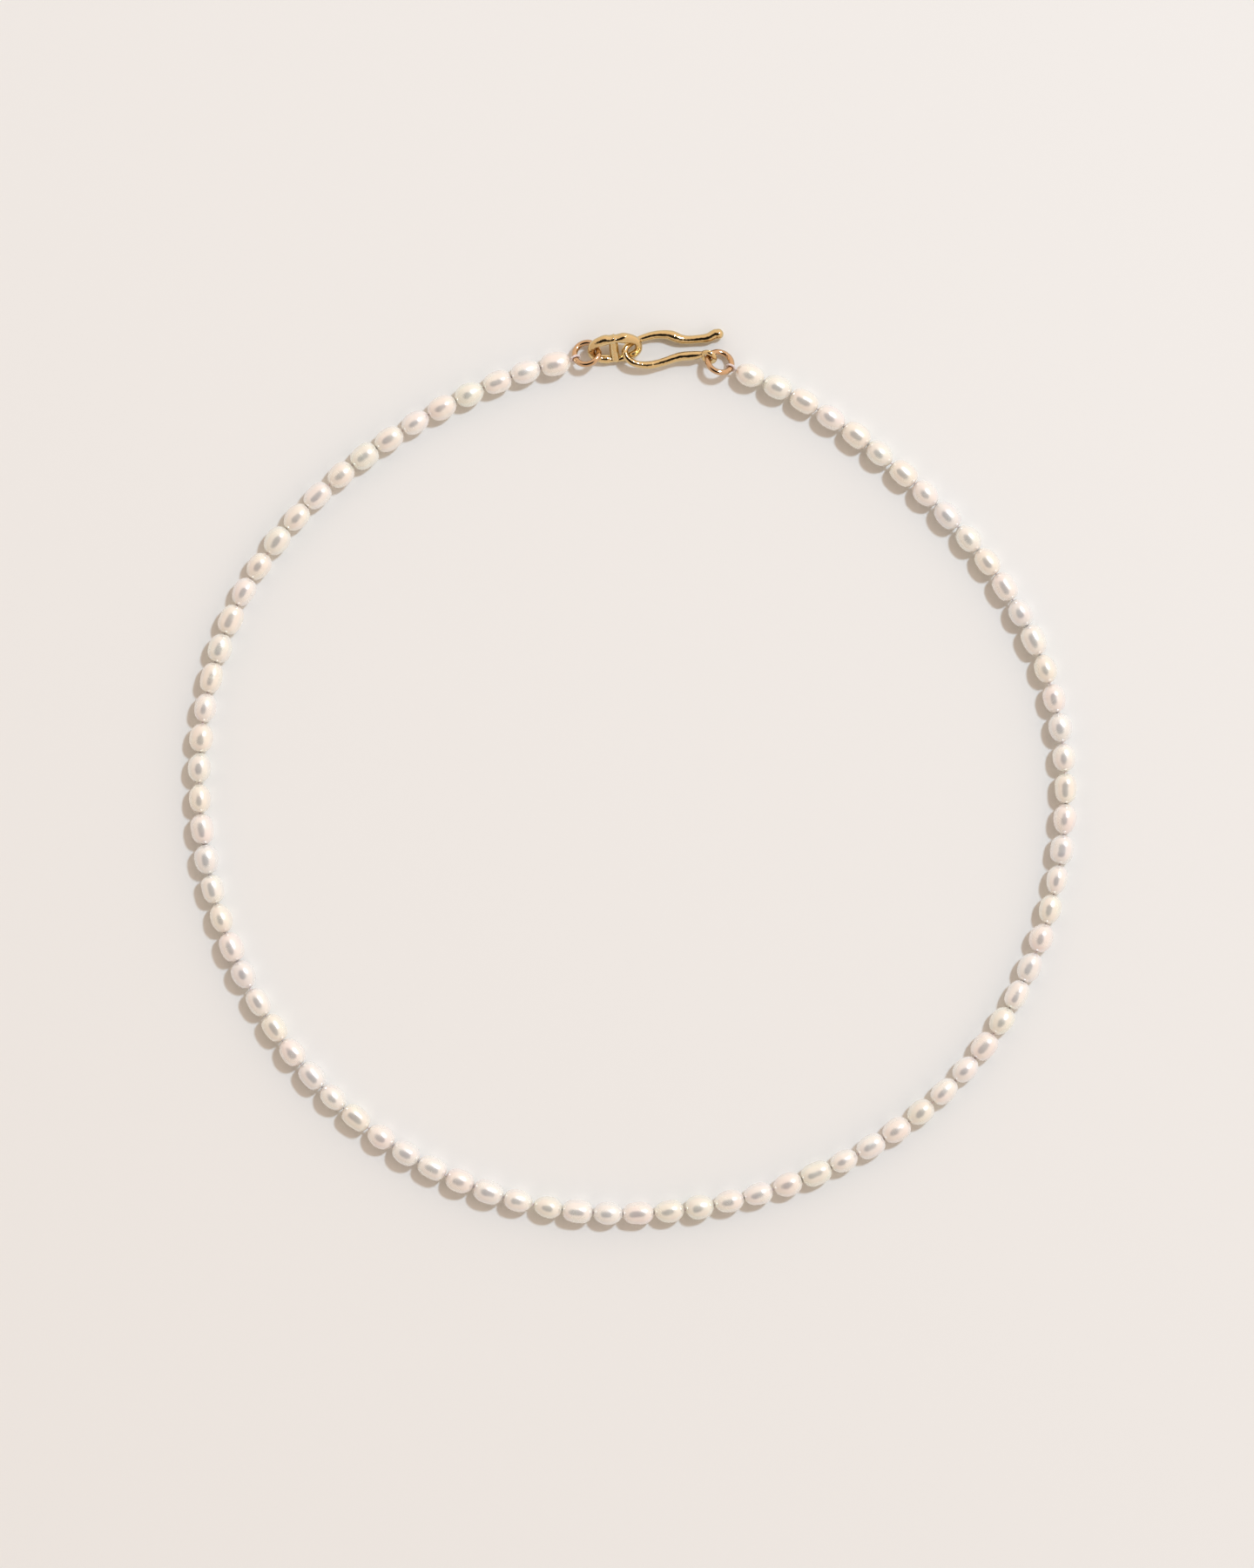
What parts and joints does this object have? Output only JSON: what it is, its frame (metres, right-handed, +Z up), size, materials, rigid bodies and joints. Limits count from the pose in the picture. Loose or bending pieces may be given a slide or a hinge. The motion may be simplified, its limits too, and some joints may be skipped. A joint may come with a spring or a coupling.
{
  "type": "pearl necklace",
  "caption": "Single strand of oval pearls on thread, closed at the back by a wavy hook through an oval link, each held by a jump ring.",
  "frame": {"origin": "middle of the bounding box, on the table the necklace lies on", "axes": "+Z up off the table, +Y from the front pearls toward the clasp, +X to the right when seen from above"},
  "size_m": [0.134, 0.1352, 0.0041],
  "materials": {
    "pearl": "gloss",
    "thread": "matte",
    "clasp_gold": "polished",
    "ring_gold": "polished"
  },
  "bodies": {
    "front": {"pearls_front": "pearl", "thread_front": "thread"},
    "strand_left_01": {"pearls_left_01": "pearl", "thread_left_01": "thread"},
    "strand_left_02": {"pearls_left_02": "pearl", "thread_left_02": "thread"},
    "strand_left_03": {"pearls_left_03": "pearl", "thread_left_03": "thread"},
    "strand_left_04": {"pearls_left_04": "pearl", "thread_left_04": "thread"},
    "strand_left_05": {"pearls_left_05": "pearl", "thread_left_05": "thread"},
    "strand_left_06": {"pearls_left_06": "pearl", "thread_left_06": "thread"},
    "strand_left_07": {"pearls_left_07": "pearl", "thread_left_07": "thread"},
    "strand_left_08": {"pearls_left_08": "pearl", "thread_left_08": "thread"},
    "strand_left_09": {"pearls_left_09": "pearl", "thread_left_09": "thread"},
    "strand_left_10": {"pearls_left_10": "pearl", "thread_left_10": "thread"},
    "strand_left_11": {"pearls_left_11": "pearl", "thread_left_11": "thread"},
    "strand_left_12": {"pearls_left_12": "pearl", "thread_left_12": "thread"},
    "strand_left_13": {"pearls_left_13": "pearl", "thread_left_13": "thread"},
    "strand_right_01": {"pearls_right_01": "pearl", "thread_right_01": "thread"},
    "strand_right_02": {"pearls_right_02": "pearl", "thread_right_02": "thread"},
    "strand_right_03": {"pearls_right_03": "pearl", "thread_right_03": "thread"},
    "strand_right_04": {"pearls_right_04": "pearl", "thread_right_04": "thread"},
    "strand_right_05": {"pearls_right_05": "pearl", "thread_right_05": "thread"},
    "strand_right_06": {"pearls_right_06": "pearl", "thread_right_06": "thread"},
    "strand_right_07": {"pearls_right_07": "pearl", "thread_right_07": "thread"},
    "strand_right_08": {"pearls_right_08": "pearl", "thread_right_08": "thread"},
    "strand_right_09": {"pearls_right_09": "pearl", "thread_right_09": "thread"},
    "strand_right_10": {"pearls_right_10": "pearl", "thread_right_10": "thread"},
    "strand_right_11": {"pearls_right_11": "pearl", "thread_right_11": "thread"},
    "strand_right_12": {"pearls_right_12": "pearl", "thread_right_12": "thread"},
    "strand_right_13": {"pearls_right_13": "pearl", "thread_right_13": "thread"},
    "left_jump_ring": {"left_jump_ring": "ring_gold"},
    "right_jump_ring": {"right_jump_ring": "ring_gold"},
    "clasp_link": {"clasp_link": "clasp_gold"},
    "clasp_hook": {"clasp_hook": "clasp_gold"}
  },
  "joints": [
    {"name": "left_front_fold", "type": "hinge", "parent": "front", "child": "strand_left_01", "pos_m": [-0.01499, -0.06446, 0.00181], "axis": [0.9995, -0.0325, 0], "range_deg": [0, 22]},
    {"name": "left_bend_1", "type": "hinge", "parent": "strand_left_01", "child": "strand_left_02", "pos_m": [-0.0281, -0.06002, 0.00181], "axis": [0, 0, 1], "range_deg": [-14, 14]},
    {"name": "left_bend_2", "type": "hinge", "parent": "strand_left_02", "child": "strand_left_03", "pos_m": [-0.03978, -0.0529, 0.00181], "axis": [0, 0, 1], "range_deg": [-3.27, 3.27]},
    {"name": "left_bend_3", "type": "hinge", "parent": "strand_left_03", "child": "strand_left_04", "pos_m": [-0.04986, -0.04331, 0.00181], "axis": [0, 0, 1], "range_deg": [-3.54, 3.54]},
    {"name": "left_bend_4", "type": "hinge", "parent": "strand_left_04", "child": "strand_left_05", "pos_m": [-0.05757, -0.03193, 0.00181], "axis": [0, 0, 1], "range_deg": [-13.74, 13.74]},
    {"name": "left_lower_side_fold", "type": "hinge", "parent": "strand_left_05", "child": "strand_left_06", "pos_m": [-0.0627, -0.0191, 0.00181], "axis": [0.9982, -0.0595, 0], "range_deg": [0, 22]},
    {"name": "left_middle_fold", "type": "hinge", "parent": "strand_left_06", "child": "strand_left_07", "pos_m": [-0.06508, -0.00554, 0.00181], "axis": [0.9982, -0.0592, 0], "range_deg": [0, 22]},
    {"name": "left_upper_side_fold", "type": "hinge", "parent": "strand_left_07", "child": "strand_left_08", "pos_m": [-0.06474, 0.00814, 0.00181], "axis": [0.9983, -0.0577, 0], "range_deg": [0, 22]},
    {"name": "left_bend_5", "type": "hinge", "parent": "strand_left_08", "child": "strand_left_09", "pos_m": [-0.06141, 0.02156, 0.00181], "axis": [0, 0, 1], "range_deg": [-2.13, 2.13]},
    {"name": "left_bend_6", "type": "hinge", "parent": "strand_left_09", "child": "strand_left_10", "pos_m": [-0.055, 0.03363, 0.00181], "axis": [0, 0, 1], "range_deg": [-15.89, 15.89]},
    {"name": "left_bend_7", "type": "hinge", "parent": "strand_left_10", "child": "strand_left_11", "pos_m": [-0.04568, 0.04398, 0.00181], "axis": [0, 0, 1], "range_deg": [-2.04, 2.04]},
    {"name": "left_bend_8", "type": "hinge", "parent": "strand_left_11", "child": "strand_left_12", "pos_m": [-0.03466, 0.05217, 0.00181], "axis": [0, 0, 1], "range_deg": [-20.04, 20.04]},
    {"name": "left_clasp_fold", "type": "hinge", "parent": "strand_left_12", "child": "strand_left_13", "pos_m": [-0.0224, 0.05862, 0.00181], "axis": [0.9979, -0.0641, 0], "range_deg": [0, 22]},
    {"name": "right_front_fold", "type": "hinge", "parent": "front", "child": "strand_right_01", "pos_m": [0.00792, -0.0652, 0.00181], "axis": [0.9995, -0.0325, 0], "range_deg": [0, 22]},
    {"name": "right_bend_1", "type": "hinge", "parent": "strand_right_01", "child": "strand_right_02", "pos_m": [0.02123, -0.06221, 0.00181], "axis": [0, 0, 1], "range_deg": [-11.64, 11.64]},
    {"name": "right_bend_2", "type": "hinge", "parent": "strand_right_02", "child": "strand_right_03", "pos_m": [0.03397, -0.05686, 0.00181], "axis": [0, 0, 1], "range_deg": [-6.45, 6.45]},
    {"name": "right_bend_3", "type": "hinge", "parent": "strand_right_03", "child": "strand_right_04", "pos_m": [0.04528, -0.04907, 0.00181], "axis": [0, 0, 1], "range_deg": [-3.13, 3.13]},
    {"name": "right_bend_4", "type": "hinge", "parent": "strand_right_04", "child": "strand_right_05", "pos_m": [0.05443, -0.03875, 0.00181], "axis": [0, 0, 1], "range_deg": [-14.95, 14.95]},
    {"name": "right_lower_side_fold", "type": "hinge", "parent": "strand_right_05", "child": "strand_right_06", "pos_m": [0.06085, -0.02646, 0.00181], "axis": [0.9982, -0.0595, 0], "range_deg": [0, 22]},
    {"name": "right_middle_fold", "type": "hinge", "parent": "strand_right_06", "child": "strand_right_07", "pos_m": [0.06444, -0.01322, 0.00181], "axis": [0.9982, -0.0592, 0], "range_deg": [0, 22]},
    {"name": "right_upper_side_fold", "type": "hinge", "parent": "strand_right_07", "child": "strand_right_08", "pos_m": [0.06526, 0.00062, 0.00181], "axis": [0.9983, -0.0577, 0], "range_deg": [0, 22]},
    {"name": "right_bend_5", "type": "hinge", "parent": "strand_right_08", "child": "strand_right_09", "pos_m": [0.06299, 0.01405, 0.00181], "axis": [0, 0, 1], "range_deg": [-1.06, 1.06]},
    {"name": "right_bend_6", "type": "hinge", "parent": "strand_right_09", "child": "strand_right_10", "pos_m": [0.05736, 0.02668, 0.00181], "axis": [0, 0, 1], "range_deg": [-17.79, 17.79]},
    {"name": "right_bend_7", "type": "hinge", "parent": "strand_right_10", "child": "strand_right_11", "pos_m": [0.04911, 0.03763, 0.00181], "axis": [0, 0, 1], "range_deg": [-0.62, 0.62]},
    {"name": "right_bend_8", "type": "hinge", "parent": "strand_right_11", "child": "strand_right_12", "pos_m": [0.0391, 0.04721, 0.00181], "axis": [0, 0, 1], "range_deg": [-19.45, 19.45]},
    {"name": "right_clasp_fold", "type": "hinge", "parent": "strand_right_12", "child": "strand_right_13", "pos_m": [0.02792, 0.05539, 0.00181], "axis": [0.9979, -0.0641, 0], "range_deg": [0, 22]},
    {"name": "left_ring_spin", "type": "hinge", "parent": "strand_left_13", "child": "left_jump_ring", "pos_m": [-0.00689, 0.06378, 0.00181], "axis": [0.1699, -0.4092, -0.8965], "continuous": true},
    {"name": "right_ring_spin", "type": "hinge", "parent": "strand_right_13", "child": "right_jump_ring", "pos_m": [0.01317, 0.06244, 0.00181], "axis": [0.245, 0.5027, 0.829], "continuous": true},
    {"name": "link_roll", "type": "hinge", "parent": "strand_left_13", "child": "clasp_link", "pos_m": [-0.00508, 0.06416, 0.00185], "axis": [0.999, 0.0215, 0.0399], "range_deg": [-2.5, 8]},
    {"name": "hook_roll", "type": "hinge", "parent": "strand_right_13", "child": "clasp_hook", "pos_m": [0.0115, 0.06325, 0.00181], "axis": [-0.997, 0.0766, 0.0144], "range_deg": [-2.5, 12]}
  ],
  "couplings": [
    {"joint": "left_bend_2", "follows": "left_bend_1", "ratio": 0.2329},
    {"joint": "left_bend_3", "follows": "left_bend_1", "ratio": -0.2525},
    {"joint": "left_bend_4", "follows": "left_bend_1", "ratio": -0.9804},
    {"joint": "left_bend_5", "follows": "left_bend_1", "ratio": -0.1515},
    {"joint": "left_bend_6", "follows": "left_bend_1", "ratio": -1.134},
    {"joint": "left_bend_7", "follows": "left_bend_1", "ratio": -0.1449},
    {"joint": "left_bend_8", "follows": "left_bend_1", "ratio": 1.4304},
    {"joint": "right_front_fold", "follows": "left_front_fold", "ratio": 1},
    {"joint": "right_bend_1", "follows": "left_bend_1", "ratio": -0.8305},
    {"joint": "right_bend_2", "follows": "left_bend_1", "ratio": -0.4598},
    {"joint": "right_bend_3", "follows": "left_bend_1", "ratio": 0.2229},
    {"joint": "right_bend_4", "follows": "left_bend_1", "ratio": 1.0673},
    {"joint": "right_lower_side_fold", "follows": "left_lower_side_fold", "ratio": 1},
    {"joint": "right_middle_fold", "follows": "left_middle_fold", "ratio": 1},
    {"joint": "right_upper_side_fold", "follows": "left_upper_side_fold", "ratio": 1},
    {"joint": "right_bend_5", "follows": "left_bend_1", "ratio": 0.075},
    {"joint": "right_bend_6", "follows": "left_bend_1", "ratio": 1.2699},
    {"joint": "right_bend_7", "follows": "left_bend_1", "ratio": 0.0437},
    {"joint": "right_bend_8", "follows": "left_bend_1", "ratio": -1.3886},
    {"joint": "right_clasp_fold", "follows": "left_clasp_fold", "ratio": 1}
  ]
}
